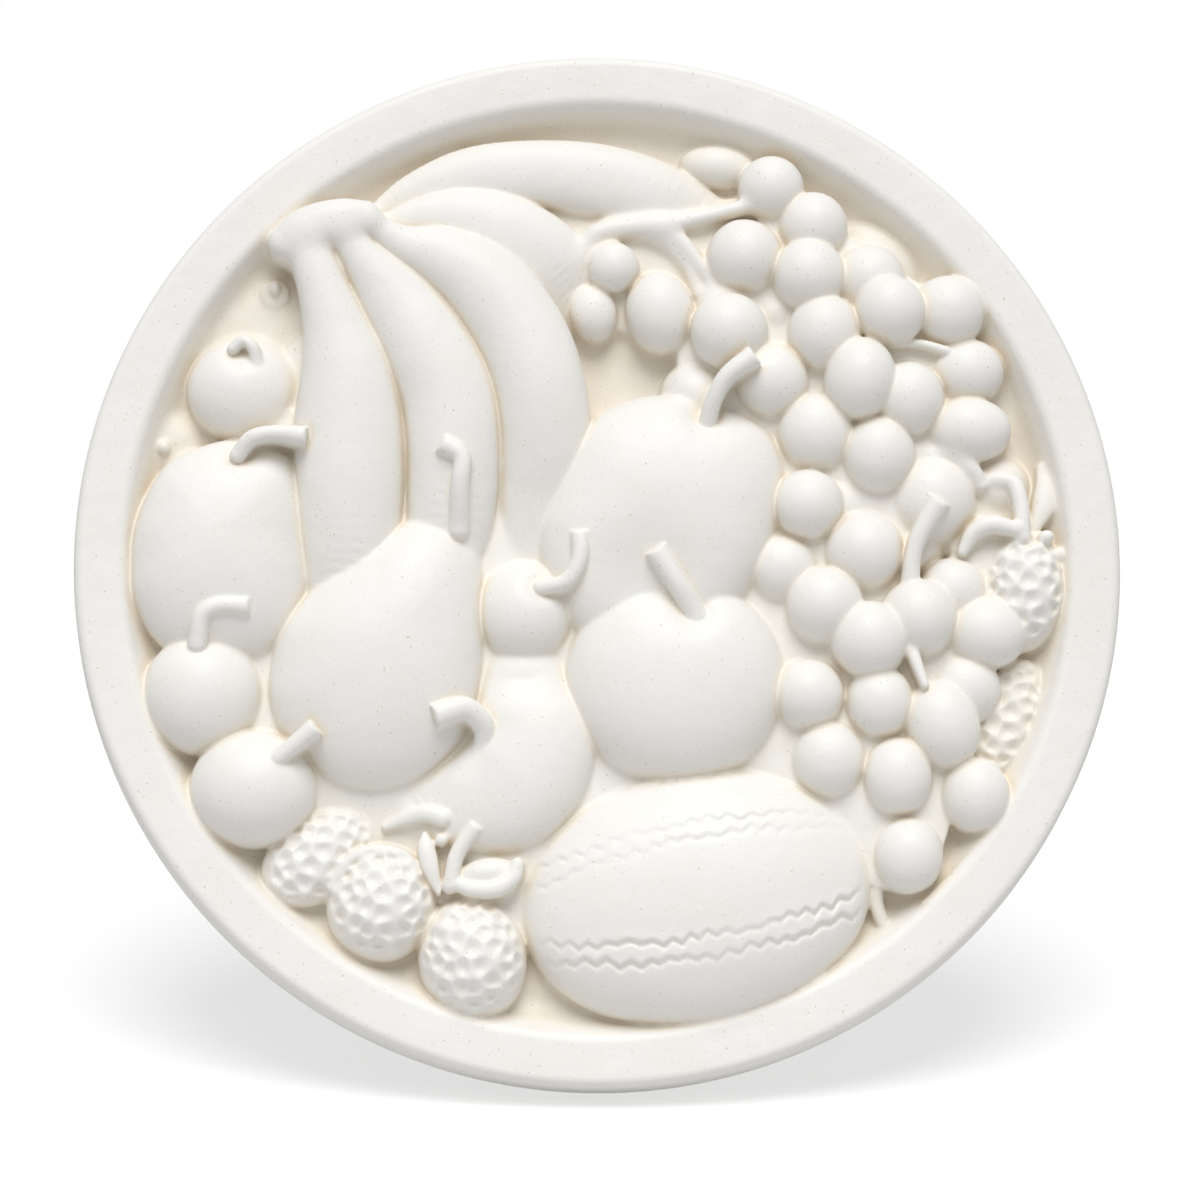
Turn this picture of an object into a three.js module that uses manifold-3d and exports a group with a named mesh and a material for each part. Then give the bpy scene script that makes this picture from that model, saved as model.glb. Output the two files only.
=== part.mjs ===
// A round wall plaque, cast in one piece in plaster: a flat raised rim around a high relief of fruit.
// Millimetres, +Z up. The back lies flat on the wall in the plane y = 0 and the relief faces -Y.
// "Height" below is always the distance that something stands out from the wall.
import * as THREE from "three";
import { mergeVertices } from "three/addons/utils/BufferGeometryUtils.js";
import Module from "manifold-3d";

// Driving dimensions of the dish
const OUTER_RADIUS = 152.4; // twelve inches across
const RIM_HEIGHT = 16;
const FLOOR_HEIGHT = 5.5;
const RIM_INNER_RADIUS = 136.3;
const FLOOR_RADIUS = 130.5;
const BACK_CHAMFER = 0.8;
const SIDE_DRAFT = 0.9;
const OUTER_EDGE_ROUND = 2.4;
const INNER_EDGE_ROUND = 1.2;
const DISH_SIDES = 56;

// How the relief is built
const ROOT_HEIGHT = FLOOR_HEIGHT - 2; // every form is rooted this far inside the floor
const DEGREES = Math.PI / 180;

const wasm = await Module();
wasm.setup();

// ---- turning three.js geometry into one body ----

function solidOf(geometry) {
  const bare = geometry.clone();
  bare.deleteAttribute("normal");
  bare.deleteAttribute("uv");
  const merged = mergeVertices(bare, 1e-4);
  const made = new wasm.Manifold(
    new wasm.Mesh({
      numProp: 3,
      vertProperties: merged.attributes.position.array,
      triVerts: new Uint32Array(merged.index.array),
    }),
  );
  if (made.volume() <= 0) throw new Error("a form is inside out");
  return made;
}

// Moves every vertex of a closed geometry to where place() sends it.
function mapped(geometry, place) {
  const position = geometry.attributes.position;
  const vertex = new THREE.Vector3();
  for (let i = 0; i < position.count; i++) {
    vertex.fromBufferAttribute(position, i);
    const moved = place(vertex);
    position.setXYZ(i, moved.x, moved.y, moved.z);
  }
  return geometry;
}

// across, up and height as the part's own x, y and z
function onPlaque(across, up, height) {
  return new THREE.Vector3(across, -height, up);
}

// ---- the kinds of form ----

// Rows of [radius, height] of a mound of unit size: a flat foot, upright sides and a round top
function domeProfile(rings) {
  const profile = [new THREE.Vector2(0, -1), new THREE.Vector2(1, -1)];
  for (let ring = 0; ring < rings; ring++) {
    const angle = (ring / rings) * 90 * DEGREES;
    profile.push(new THREE.Vector2(Math.cos(angle), Math.sin(angle)));
  }
  profile.push(new THREE.Vector2(0, 1));
  return profile;
}

// How deep soft dents, each [across, up, radius, depth], are at one place
function dentDepth(dents, across, up) {
  let depth = 0;
  for (const [dentAcross, dentUp, radius, deepest] of dents) {
    const away = Math.hypot(across - dentAcross, up - dentUp) / radius;
    depth += deepest * Math.exp(-away * away);
  }
  return depth;
}

// A rounded mound with upright sides, on an ellipse that leans clockwise by `lean` degrees.
// options: sides, rings, dome (height of the rounded part), dents ([across, up, radius, depth])
function mound(across, up, halfWidth, halfHeight, lean, top, options = {}) {
  const { sides = 8, rings = 3, dents = [] } = options;
  const dome = options.dome ?? Math.min(halfWidth, halfHeight) * 0.95;
  const shoulder = Math.max(top - dome, FLOOR_HEIGHT + 0.5);
  const turn = lean * DEGREES;
  const unit = new THREE.LatheGeometry(domeProfile(rings), sides);
  return solidOf(
    mapped(unit, (v) => {
      const u = v.x * halfWidth;
      const w = -v.z * halfHeight;
      let height = v.y < 0 ? ROOT_HEIGHT : shoulder + (top - shoulder) * v.y;
      const x = across + u * Math.cos(turn) + w * Math.sin(turn);
      const z = up - u * Math.sin(turn) + w * Math.cos(turn);
      if (v.y >= 0) height -= dentDepth(dents, x, z);
      return onPlaque(x, z, Math.max(height, ROOT_HEIGHT));
    }),
  );
}

// A form of the given unit profile whose outline is a ring of points round a middle
function outlined(profile, outline, middle, top, dome, dents = []) {
  const ring = outline.map(([across, up]) => new THREE.Vector2(across, up));
  if (THREE.ShapeUtils.isClockWise(ring)) ring.reverse();
  const centre = new THREE.Vector2(...middle);
  const unit = new THREE.LatheGeometry(profile, ring.length);
  return solidOf(
    mapped(unit, (v) => {
      const share = Math.hypot(v.x, v.z);
      const turn = Math.atan2(v.x, v.z) / (2 * Math.PI);
      const corner = ring[Math.round((turn + 1) * ring.length) % ring.length];
      const place = centre.clone().lerp(corner, share);
      let height = v.y < 0 ? ROOT_HEIGHT : top - dome + dome * v.y;
      if (v.y >= 0) height -= dentDepth(dents, place.x, place.y);
      return onPlaque(place.x, place.y, height);
    }),
  );
}

// Smooth values along a form, from rows of numbers that are spaced evenly along it.
function rowAt(rows, along) {
  const last = rows.length - 1;
  const place = Math.min(along * last, last - 1e-9);
  const i = Math.floor(place);
  const t = place - i;
  const row = (k) => rows[Math.min(Math.max(k, 0), last)];
  return row(i).map((_, n) => {
    const [a, b, c, d] = [row(i - 1)[n], row(i)[n], row(i + 1)[n], row(i + 2)[n]];
    return b + 0.5 * t * (c - a + t * (2 * a - 5 * b + 4 * c - d + t * (3 * (b - c) + d - a)));
  });
}

// The place along a row of points and the two directions across it.
function stationAt(rows, along) {
  const step = 1e-3;
  const here = rowAt(rows, along);
  const before = rowAt(rows, Math.max(along - step, 0));
  const after = rowAt(rows, Math.min(along + step, 1));
  const run = new THREE.Vector2(after[0] - before[0], after[1] - before[1]).normalize();
  return { here, sideAcross: run.y, sideUp: -run.x };
}

// A long form with an arched back and upright sides. Each row is [across, up, half width, top];
// domeShare is how much of the half width the arch rises.
function arched(rows, steps = Math.round(1.2 * (rows.length - 1)), domeShare = 0.85, sides = 8) {
  const unit = new THREE.CylinderGeometry(1, 1, 1, sides, steps);
  return solidOf(
    mapped(unit, (v) => {
      const { here, sideAcross, sideUp } = stationAt(rows, v.y + 0.5);
      const [across, up, halfWidth, top] = here;
      const shoulder = Math.max(top - halfWidth * domeShare, FLOOR_HEIGHT);
      const middleOfEnd = Math.hypot(v.x, v.z) < 0.5;
      let side = v.x * halfWidth;
      let height = shoulder + (top - shoulder) * v.z;
      if (middleOfEnd) {
        height = (shoulder + ROOT_HEIGHT) / 2;
      } else if (v.z < -0.01) {
        side = Math.max(-1, Math.min(1, 1.45 * v.x)) * halfWidth;
        height = ROOT_HEIGHT;
      }
      return onPlaque(across + side * sideAcross, up + side * sideUp, height);
    }),
  );
}

// A stem, round on top and cast down to what lies under it. Rows as for an arched form.
function stem(rows, steps = Math.round(1.2 * (rows.length - 1))) {
  return arched(rows, steps, 1, 5);
}

// ---- the dish: back, rim, sloped inner wall and floor ----

function dish() {
  const arc = (radius, height, round, from, to, count) => {
    const points = [];
    for (let i = 0; i <= count; i++) {
      const angle = (from + ((to - from) * i) / count) * DEGREES;
      points.push(
        new THREE.Vector2(radius + round * Math.cos(angle), height + round * Math.sin(angle)),
      );
    }
    return points;
  };
  const frontRadius = OUTER_RADIUS - SIDE_DRAFT;
  const wallAngle = Math.atan2(RIM_INNER_RADIUS - FLOOR_RADIUS, RIM_HEIGHT - FLOOR_HEIGHT) / DEGREES;
  const profile = [
    new THREE.Vector2(0, 0),
    new THREE.Vector2(OUTER_RADIUS - BACK_CHAMFER, 0),
    new THREE.Vector2(OUTER_RADIUS, BACK_CHAMFER),
    ...arc(frontRadius - OUTER_EDGE_ROUND, RIM_HEIGHT - OUTER_EDGE_ROUND, OUTER_EDGE_ROUND, 0, 90, 2),
    ...arc(RIM_INNER_RADIUS + INNER_EDGE_ROUND, RIM_HEIGHT - INNER_EDGE_ROUND, INNER_EDGE_ROUND,
      90, 180 - wallAngle, 1),
    new THREE.Vector2(FLOOR_RADIUS, FLOOR_HEIGHT),
    new THREE.Vector2(0, FLOOR_HEIGHT),
  ];
  const turned = new THREE.LatheGeometry(profile, DISH_SIDES);
  turned.rotateX(180 * DEGREES); // the lathe's axis becomes the line out of the wall
  return solidOf(turned);
}

// ---- the fruit ----

// Rows of [across, up, half width, half height, lean, top]
const UPPER_GRAPES = [
  [35.5, 119.5, 11.5, 6.5, 6, 13],
  [50.9, 112, 9.7, 9.7, 0, 21],
  [63, 100.5, 10.3, 10.3, 0, 22],
  [42.8, 91, 11, 11, 0, 24],
  [61.5, 85, 10.8, 10.8, 0, 26],
  [38, 68, 11.4, 11.4, 0, 27],
  [18, 74.5, 10, 12.2, -14, 21],
  [4.4, 87.6, 7.5, 7.5, 0, 20],
  [-1.5, 74.5, 7, 8.5, -10, 17],
  [37, 77, 9.5, 9.5, 0, 17],
  [52.5, 74.5, 5.5, 5.5, 0, 16],
  [79.5, 84.5, 10.5, 10.5, 0, 22],
  [83, 93, 14, 8, 40, 12],
  [85, 74, 10.4, 10.4, 0, 28],
  [102.5, 75, 10.8, 10.8, 0, 23],
  [66, 68, 10.8, 11.4, 0, 26],
  [76, 53.7, 10.4, 12.2, 10, 29],
  [90.5, 48.5, 10.3, 11, 0, 25],
  [108, 57.5, 11, 10, 0, 20],
  [108.3, 39.8, 12.3, 9.7, 0, 22],
  [63.5, 38.5, 11.5, 12, 0, 24],
  [50.5, 54, 11, 11, 0, 24],
  [28.5, 50.5, 10.5, 10.5, 0, 17],
  [81.5, 32, 10.8, 11.5, 0, 25],
  [117.5, 24, 9, 9, 0, 14],
];
const LOWER_GRAPES = [
  [60.7, 16.8, 10.3, 10.3, 0, 26],
  [71, 17, 10, 10, 0, 17],
  [77, 3.5, 11.6, 11.6, 0, 25.5],
  [53.5, -1.5, 10.3, 10.3, 0, 22],
  [65.3, -12.7, 11.3, 11.3, 0, 27],
  [78, -23, 11.3, 11.3, 0, 29],
  [92.5, -16, 11.3, 11.3, 0, 26.5],
  [103, -7.5, 10, 10, 0, 20],
  [112.5, -20, 11.7, 10.3, 0, 23],
  [106, -36, 10.8, 10.8, 0, 20],
  [60.5, -38.5, 10.4, 10.4, 0, 25],
  [81, -40.5, 10, 10.5, 0, 25],
  [99, -47, 10.8, 13, -20, 25.5],
  [66.3, -57, 10.8, 11.3, 0, 23.5],
  [86, -62, 10, 11.3, 0, 24.5],
  [108.5, -67, 10, 11, 0, 22],
  [89, -84.5, 10, 11, 0, 23],
];

function grapes() {
  return [...UPPER_GRAPES, ...LOWER_GRAPES].map((row) => mound(...row));
}

// Low plaster that fills the hollows between neighbouring fruit
function bed(outline, middle, top) {
  const profile = [[0, -1], [1, -1], [1, 0], [0.93, 1], [0, 1]].map((p) => new THREE.Vector2(...p));
  return outlined(profile, outline, middle, top, 2.5);
}

function beds() {
  return [
    // under the upper and the lower bunch of grapes
    bed([[50, 108], [62, 98], [80, 86], [100, 75], [106, 58], [106, 42], [90, 34], [66, 30], [30, 48],
      [24, 66], [42, 88]], [68, 65], 13),
    bed([[58, 18], [78, 6], [92, -12], [104, -6], [112, -20], [106, -36], [104, -62], [90, -82],
      [66, -62], [50, -40], [50, -4]], [80, -28], 14),
    // in the middle of the dish
    bed([[-110, 10], [-74, 40], [-40, 20], [-10, 20], [18, 40], [46, 20], [48, -40], [60, -96],
      [28, -116], [-30, -112], [-60, -96], [-96, -66], [-114, -38]], [-20, -40], 14.5),
    // under the front bananas and behind the others
    bed([[-86, 92], [-66, 99], [-40, 88], [-24, 70], [-16, 40], [-16, 10], [-72, 0], [-74, 40],
      [-80, 72]], [-48, 45], 15.5),
    bed([[-60, 102], [-38, 106], [-14, 100], [14, 96], [22, 104], [0, 112], [-30, 114]],
      [-20, 106], 9),
  ];
}

// Five bananas and the crown that joins their necks
function bananas() {
  return [
    arched([
      [-84, 92, 5.4, 23.5], [-81.3, 82, 6.2, 24.5], [-76.5, 67.5, 9.8, 26], [-73.3, 54, 13.6, 27],
      [-72.5, 38, 16.2, 27], [-72.3, 20, 16, 26], [-73, 0, 13.5, 22], [-76, -16, 8, 15],
    ]),
    arched([
      [-75, 93, 5.2, 23.5], [-70, 87.5, 6.2, 24.5], [-59.5, 76, 10.9, 26], [-51, 63, 13, 27],
      [-44, 48, 14, 27], [-42.3, 30, 13.6, 26], [-43.5, 10, 12.5, 22], [-47, -10, 8, 15],
    ]),
    arched([
      [-66, 97, 3.6, 23], [-57, 92.3, 5.6, 24], [-45.5, 88.5, 9.4, 25.5], [-33.5, 80.5, 12.6, 26.5],
      [-23.5, 67, 13.9, 27], [-17.5, 51, 13.8, 27], [-16, 34, 13.8, 26], [-17, 16, 13, 23],
      [-21, -2, 9, 15],
    ]),
    arched([
      [-64, 99.5, 2.5, 16], [-52, 102, 5.4, 18], [-39, 101, 9.5, 19.5], [-26, 95.5, 13.4, 19.5],
      [-14, 87, 14, 17], [-5, 77, 10, 10],
    ]),
    arched([
      [-66, 104.5, 2, 12], [-54, 110.2, 6, 14], [-38, 115, 9, 15.5], [-20, 116.5, 10, 16],
      [0, 114.5, 11.3, 16], [18, 109.5, 11, 14.5], [35, 102, 8, 10],
    ]),
    arched([
      [-92.5, 92, 5, 23], [-84.5, 96.3, 6.6, 26.5], [-75.5, 98.2, 6.8, 27.5],
      [-68.5, 99.7, 5, 26.5],
    ]),
  ];
}

const FINE = { sides: 16, rings: 4 };

function bigFruit() {
  return [
    // apples: upper, lower, left, and the small one behind the bananas
    outlined(domeProfile(4), [
      [-18, 8], [-14.5, 20], [-8.5, 34], [-2, 42.5], [8, 48], [18, 50], [29, 49.5], [40, 45],
      [49, 39.5], [54, 30], [54, 17], [48, -2], [32, -20], [8, -26], [-8, -20], [-16, -6],
    ], [18, 12], 29, 19, [[32, 46, 8, 8]]),
    mound(22, -34.5, 32.5, 30.5, 0, 30, { ...FINE, dome: 20, dents: [[28, -9, 8, 9]] }),
    outlined(domeProfile(4), [
      [-135.5, 0], [-135, 8], [-133, 15], [-130, 22], [-126, 28], [-119, 32.5], [-108, 36],
      [-97, 35.5], [-88, 30], [-85, 20], [-84, 5], [-84, -9], [-90, -24], [-104, -30],
      [-118, -29], [-128, -23], [-134.5, -12],
    ], [-110, 4], 27, 17, [[-103.5, 34, 7, 6]]),
    mound(-103.5, 51, 16.8, 15.5, 0, 19.5, { ...FINE, dome: 12, dents: [[-105, 62, 5, 4]] }),
    // pear, from its round end to its neck
    arched([
      [-79.5, -62.5, 5, 15], [-76, -56, 18, 21.5], [-71, -47.5, 27, 26.5], [-64.7, -36, 30.3, 29],
      [-60, -24, 28.3, 29], [-55.5, -13.5, 22.8, 28], [-50.8, -4.5, 17.5, 26.5], [-46.5, 3, 13.2, 25],
      [-43.5, 9, 9.5, 22.5], [-41.5, 13, 4, 17],
    ], 11, 0.55, 12),
    // three cherries
    mound(-114, -38.5, 17.3, 17.8, 0, 25, { ...FINE, dome: 15 }),
    mound(-99, -66, 18.5, 17, 0, 27, { ...FINE, dome: 16 }),
    mound(-21.5, -15, 14.2, 15.2, 0, 25, { ...FINE, dome: 13.5, dents: [[-16, -8, 5, 4]] }),
    // melon
    mound(28, -96.3, 51, 37, -10, 30, { sides: 22, rings: 4, dome: 21 }),
    // plum and the low fruit beside it
    mound(97.3, 19, 12.9, 13.2, 0, 20, { dome: 12 }),
  ];
}

// The peach bends round the hollow that its stem stands in
function peach() {
  return [
    arched([
      [-19, -31, 11, 18], [-18.5, -42, 15.5, 21.5], [-18, -54, 18.5, 23.5], [-25, -65.5, 18.5, 23],
      [-38, -70.5, 13.5, 19.5], [-52, -73, 7, 15],
    ], 12, 0.75),
  ];
}

// Strawberries with a few broad leaves
function strawberries() {
  const berry = { sides: 10, rings: 3 };
  return [
    mound(-36, -114, 15.6, 18, -8, 23.5, { ...berry, dome: 13 }),
    mound(-62, -98.5, 15.6, 16.8, 20, 23, { ...berry, dome: 13 }),
    mound(-79, -86.5, 12, 16, 40, 13.5, { ...berry, dome: 7 }),
    mound(124.5, -5, 10.5, 14.5, 0, 19, { ...berry, dome: 10 }),
    mound(117.5, -49, 8, 14, 30, 10.5, { ...berry, dome: 4.5 }),
    // leaves
    mound(-29, -91.3, 7, 4.4, -18, 18, { sides: 10 }),
    mound(-48.3, -87.5, 2.8, 8.5, 8, 17, { sides: 8 }),
    mound(-52, -76, 8.5, 2.3, -10, 14, { sides: 8 }),
    mound(130.3, 20.5, 3, 7.5, 8, 14, { sides: 8 }),
  ];
}

function stems() {
  return [
    // apples
    stem([[31, 38, 2.6, 22], [33, 46, 2.5, 26], [37, 53, 2.6, 28.5], [45, 58.5, 3.1, 29]]),
    stem([[28, -16.5, 4, 27], [22, -9.5, 3.2, 29.5], [16, 1.5, 2.9, 29.5]]),
    stem([[-104.5, 29.5, 2.4, 23], [-100.5, 34, 2.3, 25.5], [-94, 35.3, 2.3, 26.5],
      [-84.5, 34.3, 2.9, 28]]),
    stem([[-99.5, 57.8, 2, 18.5], [-100.7, 62, 1.8, 19.5], [-103.6, 64, 1.7, 19],
      [-106.5, 61.8, 1.7, 18]]),
    // pear
    stem([[-40.5, 8, 3, 24], [-40.3, 20, 2.7, 29], [-40, 28.5, 2.6, 29.5], [-45.5, 32, 2.8, 29]]),
    // cherries
    stem([[-115.3, -25.5, 2.8, 23.5], [-113.8, -17.5, 2.5, 25.5], [-108.5, -14.7, 2.6, 26],
      [-100.3, -15, 2.8, 25.5]]),
    stem([[-91.5, -58.5, 2.3, 26], [-81, -50, 2.8, 29]], 2),
    stem([[-17, -9, 2.3, 24.5], [-9.5, -7.3, 2.4, 26.5], [-5.8, -1, 2.4, 27.5],
      [-5.8, 6.7, 2.5, 27.5]]),
    // peach
    stem([[-33, -56, 3, 19.5], [-30.5, -48.5, 3.6, 24], [-37, -43.5, 3.8, 28], [-47, -47, 3.6, 29]]),
    // vine of the upper bunch, with its branches
    stem([[-5, 92, 2.2, 16], [0, 98, 2.3, 17.5], [10, 100.3, 2.2, 18.5], [20, 100.5, 2.3, 18.5],
      [27, 94, 2.2, 17.5], [31, 85, 1.8, 17]]),
    stem([[20, 100.5, 2, 17.5], [33, 103.5, 1.9, 17.5], [45.5, 107, 1.8, 17]]),
    stem([[82, 64, 1.2, 18], [93, 64.6, 1.3, 18.5], [101.5, 62.5, 1.5, 18.5]]),
    // stalk of the lower bunch and of its last grapes
    stem([[97.5, 18, 3.3, 24.5], [92.8, 8, 2.5, 23], [91.5, -6, 2.2, 21]]),
    stem([[90.5, -26, 1.5, 20.5], [94, -37, 1.6, 22.5]], 2),
    // tendril beside the melon
    stem([[73, -79, 2, 13], [79.5, -85, 2.2, 14], [80, -98, 2.1, 11.5], [84, -107, 2.4, 10]]),
    // strawberry stalks
    stem([[-35, -77.5, 2.2, 21.5], [-40, -84, 2.3, 20.5], [-42.5, -94, 2.4, 19]]),
    stem([[122, 8, 2.2, 19], [122.3, 19, 2.2, 18.5], [116, 26, 2.4, 17]]),
    stem([[121, 11, 2, 20.5], [112.5, 11.5, 2, 20], [106.8, 4, 2.1, 18.5]]),
    // stalk end of the plum
    stem([[95, 33, 2, 16], [104.5, 31.5, 2.2, 18.5], [109, 28, 2.2, 19], [117, 24.5, 1.6, 16]]),
  ];
}

// ---- the plaque ----

function castInOne(forms) {
  let body = dish();
  for (const form of forms) body = body.add(form);
  const mesh = body.getMesh();
  return new THREE.BufferGeometry()
    .setAttribute("position", new THREE.BufferAttribute(mesh.vertProperties, 3))
    .setIndex(new THREE.BufferAttribute(mesh.triVerts, 1));
}

const plaster = new THREE.MeshStandardMaterial({
  color: 0xf0efea,
  roughness: 0.72,
  metalness: 0,
});

const plaque = new THREE.Mesh(
  castInOne([
    ...beds(),
    ...bananas(),
    ...grapes(),
    ...bigFruit(),
    ...peach(),
    ...strawberries(),
    ...stems(),
  ]),
  plaster,
);
plaque.name = "plaque";

const part = new THREE.Group();
part.add(plaque);

export default part;
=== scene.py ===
"""Looks of a round cast plaster plaque with fruit in high relief.

The whole casting is one surface, worked out as a distance field on a grid of voxels: the dish and
every fruit are simple rounded forms that melt into each other a little, as they do in plaster.
Millimetres are used for the relief: across (+X), up (+Z) and height out from the wall (-Y).
"""
import math

import bpy
import numpy as np
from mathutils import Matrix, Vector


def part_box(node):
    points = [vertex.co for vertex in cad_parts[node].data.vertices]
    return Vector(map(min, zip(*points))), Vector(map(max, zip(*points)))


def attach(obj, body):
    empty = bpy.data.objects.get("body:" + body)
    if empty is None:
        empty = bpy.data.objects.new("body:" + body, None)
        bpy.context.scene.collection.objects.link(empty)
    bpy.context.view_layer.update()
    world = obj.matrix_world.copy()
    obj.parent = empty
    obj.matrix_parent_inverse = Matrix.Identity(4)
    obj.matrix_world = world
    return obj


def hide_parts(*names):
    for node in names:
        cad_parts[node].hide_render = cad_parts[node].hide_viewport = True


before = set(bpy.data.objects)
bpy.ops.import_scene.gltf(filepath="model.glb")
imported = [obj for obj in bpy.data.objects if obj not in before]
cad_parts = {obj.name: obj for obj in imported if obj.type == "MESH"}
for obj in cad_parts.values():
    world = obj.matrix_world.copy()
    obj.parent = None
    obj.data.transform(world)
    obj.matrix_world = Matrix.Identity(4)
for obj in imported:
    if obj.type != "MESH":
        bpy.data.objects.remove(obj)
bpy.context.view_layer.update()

import openvdb
from mathutils import Vector

PLAQUE_LOW, PLAQUE_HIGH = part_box("plaque")
MM = 0.001

# ---- camera ----

CAMERA_DISTANCE = 1.35
CAMERA_BELOW = math.radians(10.6)
CAMERA_LEFT = math.radians(1.76)
LENS = 140.0
SENSOR_WIDTH = 36.0
AIM = Vector((0.0003, -0.016, -0.0114))  # a little under the middle, at the height of the rim


def make_camera():
    """The main view: from a little below and to the left of straight on."""
    data = bpy.data.cameras.new("camera")
    data.lens = LENS
    data.sensor_width = SENSOR_WIDTH
    camera = bpy.data.objects.new("camera", data)
    bpy.context.scene.collection.objects.link(camera)
    level = math.cos(CAMERA_BELOW)
    back = Vector((-math.sin(CAMERA_LEFT) * level, -math.cos(CAMERA_LEFT) * level,
                   -math.sin(CAMERA_BELOW)))
    rim_middle = Vector((0, AIM.y, 0))
    camera.location = rim_middle + back * CAMERA_DISTANCE
    camera.rotation_euler = (AIM - camera.location).to_track_quat("-Z", "Y").to_euler()
    bpy.context.scene.camera = camera


# ---- the grid of voxels ----

OUTER_RADIUS = (PLAQUE_HIGH[0] - PLAQUE_LOW[0]) / 2 / MM
HIGHEST = (PLAQUE_HIGH[1] - PLAQUE_LOW[1]) / MM  # of the fruit, out from the wall
VOXEL = 0.55
SPARE = 2.5  # free space left round the casting
UP_STRETCH = 1.006  # the layout of the fruit is drawn this much too flat

across_axis = np.arange(-OUTER_RADIUS - SPARE, OUTER_RADIUS + SPARE + VOXEL, VOXEL, dtype=np.float32)
height_axis = np.arange(-SPARE, HIGHEST + SPARE + VOXEL, VOXEL, dtype=np.float32)

# ---- the dish ----

RIM_HEIGHT = 16.0
FLOOR_HEIGHT = 5.5
RIM_INNER_RADIUS = 137.4
FLOOR_RADIUS = 130.5
SIDE_DRAFT = 0.9  # how much narrower the side gets on its way to the rim
OUTER_ROUND = 2.6  # rounding of the rim's outer edge
INNER_ROUND = 1.8  # and of its inner edge
FLOOR_ROUND = 4.0  # softness of the corner between the inner wall and the floor


def smooth_union(a, b, blend):
    """The lower of two distances, melted together where they are less than blend apart."""
    melt = np.maximum(blend - np.abs(a - b), 0) / blend
    return np.minimum(a, b) - melt * melt * blend / 4


def smooth_cut(a, b, blend):
    """The higher of two distances, melted in the same way."""
    return -smooth_union(-a, b, blend)


def dish():
    """Distance to the dish: drafted side, flat rim with softened edges, sloped wall and floor."""
    x = across_axis[:, None, None]
    z = across_axis[None, :, None]
    h = height_axis[None, None, :]
    radius = np.sqrt(x * x + z * z)
    uneven = 0.12 * np.sin(x / 23 + 1.2) * np.sin(z / 19 + 0.4) + 0.07 * np.sin(x / 9 - z / 11)
    side = radius - (OUTER_RADIUS - SIDE_DRAFT * h / RIM_HEIGHT)
    front = h - RIM_HEIGHT - uneven
    edge = np.sqrt(np.maximum(side + OUTER_ROUND, 0) ** 2 + np.maximum(front + OUTER_ROUND, 0) ** 2)
    block = np.minimum(np.maximum(side, front) + OUTER_ROUND, 0) + edge - OUTER_ROUND
    block = np.maximum(block, -h)
    slope = math.atan2(RIM_INNER_RADIUS - FLOOR_RADIUS, RIM_HEIGHT - FLOOR_HEIGHT)
    wall = (radius - FLOOR_RADIUS - (h - FLOOR_HEIGHT) * math.tan(slope)) * math.cos(slope)
    hollow = -smooth_union(-wall, h - FLOOR_HEIGHT - 1.3 * uneven, FLOOR_ROUND)
    return smooth_cut(block, hollow, INNER_ROUND)


# ---- adding forms to it ----

FRUIT_BLEND = 1.3  # how far neighbours melt into each other
ROOT_HEIGHT = FLOOR_HEIGHT - 2  # forms start inside the floor
LEAST_DOME = 0.8
WINDOW_MARGIN = 4.0

field = dish().astype(np.float32)  # the casting so far: below zero inside it


class Window:
    """The part of the grid round one form."""

    def __init__(self, low_across, high_across, low_up, high_up):
        start = across_axis[0]

        def span(low, high):
            first = max(int((low - WINDOW_MARGIN - start) / VOXEL), 0)
            last = min(int((high + WINDOW_MARGIN - start) / VOXEL) + 2, len(across_axis))
            return slice(first, last)

        self.rows = span(low_across, high_across)
        self.columns = span(low_up * UP_STRETCH, high_up * UP_STRETCH)
        self.x = across_axis[self.rows][:, None] * np.ones_like(across_axis[self.columns])[None, :]
        self.z = across_axis[self.columns][None, :] / UP_STRETCH * np.ones_like(self.x)

    def cast(self, share, radius, top, dome, fullness=2.0, carve=None, blend=FRUIT_BLEND):
        """Adds a form. At each place, share is how far out it is (1 at its outline), radius is the
        outline's distance in mm, top its highest height and dome how much of that is rounded.
        A higher fullness makes it squarer, and carve cuts a depth in mm out of it."""
        top = np.broadcast_to(top, share.shape)
        dome = np.broadcast_to(dome, share.shape)
        shoulder = np.maximum(top - dome, ROOT_HEIGHT)
        dome = np.maximum(top - shoulder, LEAST_DOME)
        h = height_axis[None, None, :]
        out = np.maximum(share, 1e-4)[:, :, None]
        rise = np.maximum(h - shoulder[:, :, None], 0) / dome[:, :, None]
        size = (out**fullness + rise**fullness) ** (1 / fullness)
        steepness = size ** (1 - fullness) * np.sqrt(
            (out ** (fullness - 1) / radius[:, :, None]) ** 2
            + (rise ** (fullness - 1) / dome[:, :, None]) ** 2)
        steepness = np.maximum(steepness, 0.5 / np.maximum(radius[:, :, None], dome[:, :, None]))
        distance = (size - 1) / steepness
        if carve is not None:
            distance = distance + carve[:, :, None]
        distance = np.maximum(distance, ROOT_HEIGHT - h)
        old = field[self.rows, self.columns]
        field[self.rows, self.columns] = smooth_union(old, distance, blend)


# ---- kinds of form ----

def turned(win, across, up, lean):
    """Places measured from a form's middle, along and across a form that leans clockwise."""
    turn = math.radians(lean)
    right, above = win.x - across, win.z - up
    return (right * math.cos(turn) - above * math.sin(turn),
            right * math.sin(turn) + above * math.cos(turn))


def dented(win, top, dents):
    """Heights pressed in at each dent: [across, up, radius, depth]."""
    for across, up, radius, depth in dents:
        away = ((win.x - across) ** 2 + (win.z - up) ** 2) / radius**2
        top = top - depth * np.exp(-away)
    return top


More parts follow.
